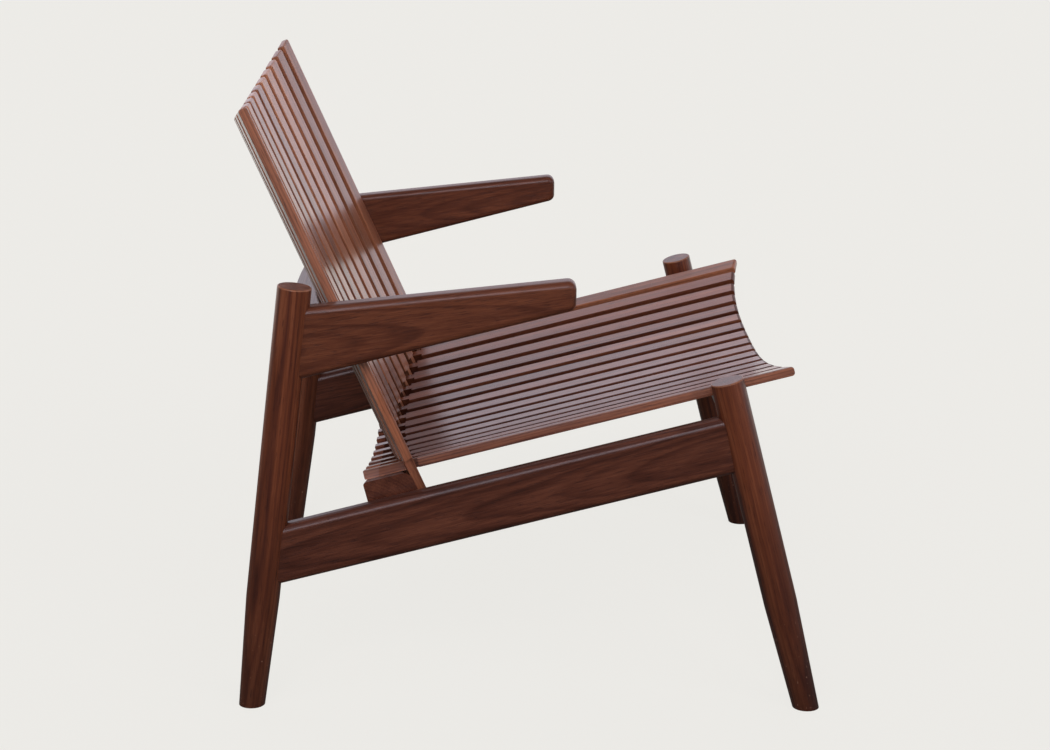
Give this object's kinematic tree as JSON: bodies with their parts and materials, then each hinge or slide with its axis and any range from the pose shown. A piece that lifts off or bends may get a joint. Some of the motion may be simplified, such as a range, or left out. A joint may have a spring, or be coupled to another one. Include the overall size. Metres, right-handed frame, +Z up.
{
  "type": "lounge chair",
  "caption": "Low wooden armchair with splayed round legs, plank arms that reach forward unsupported, and a dished seat and back of slats that pass between each other.",
  "frame": {"origin": "on the floor, under the middle of the chair's box", "axes": "+X to the front of the chair, +Y to the sitter's left, +Z up"},
  "size_m": [0.7747, 0.7642, 0.7801],
  "materials": {
    "leg_walnut": "satin lacquer",
    "arm_walnut": "satin lacquer",
    "rail_walnut": "satin lacquer",
    "slat_walnut": "satin lacquer",
    "tenon_wood": "bare"
  },
  "bodies": {
    "root": {"front_left_leg": "leg_walnut", "rear_left_leg": "leg_walnut", "left_armrest": "arm_walnut", "left_side_rail": "rail_walnut", "front_right_leg": "leg_walnut", "rear_right_leg": "leg_walnut", "right_armrest": "arm_walnut", "right_side_rail": "rail_walnut", "back_rail": "rail_walnut", "rear_seat_rail": "rail_walnut", "front_seat_rail": "rail_walnut", "seat_slat_01": "slat_walnut", "seat_slat_02": "slat_walnut", "seat_slat_03": "slat_walnut", "seat_slat_04": "slat_walnut", "seat_slat_05": "slat_walnut", "seat_slat_06": "slat_walnut", "seat_slat_07": "slat_walnut", "seat_slat_08": "slat_walnut", "seat_slat_09": "slat_walnut", "seat_slat_10": "slat_walnut", "seat_slat_11": "slat_walnut", "seat_slat_12": "slat_walnut", "seat_slat_13": "slat_walnut", "seat_slat_14": "slat_walnut", "seat_slat_15": "slat_walnut", "seat_slat_16": "slat_walnut", "back_slat_01": "slat_walnut", "back_slat_02": "slat_walnut", "back_slat_03": "slat_walnut", "back_slat_04": "slat_walnut", "back_slat_05": "slat_walnut", "back_slat_06": "slat_walnut", "back_slat_07": "slat_walnut", "back_slat_08": "slat_walnut", "back_slat_09": "slat_walnut", "back_slat_10": "slat_walnut", "back_slat_11": "slat_walnut", "back_slat_12": "slat_walnut", "back_slat_13": "slat_walnut", "back_slat_14": "slat_walnut", "back_slat_15": "slat_walnut", "back_slat_16": "slat_walnut", "back_slat_17": "slat_walnut", "left_arm_tenon": "tenon_wood", "left_rail_rear_tenon": "tenon_wood", "left_rail_front_tenon": "tenon_wood", "left_rear_rail_tenon": "tenon_wood", "left_front_rail_tenon": "tenon_wood", "left_back_rail_tenon": "tenon_wood", "right_arm_tenon": "tenon_wood", "right_rail_rear_tenon": "tenon_wood", "right_rail_front_tenon": "tenon_wood", "right_rear_rail_tenon": "tenon_wood", "right_front_rail_tenon": "tenon_wood", "right_back_rail_tenon": "tenon_wood"}
  },
  "joints": []
}
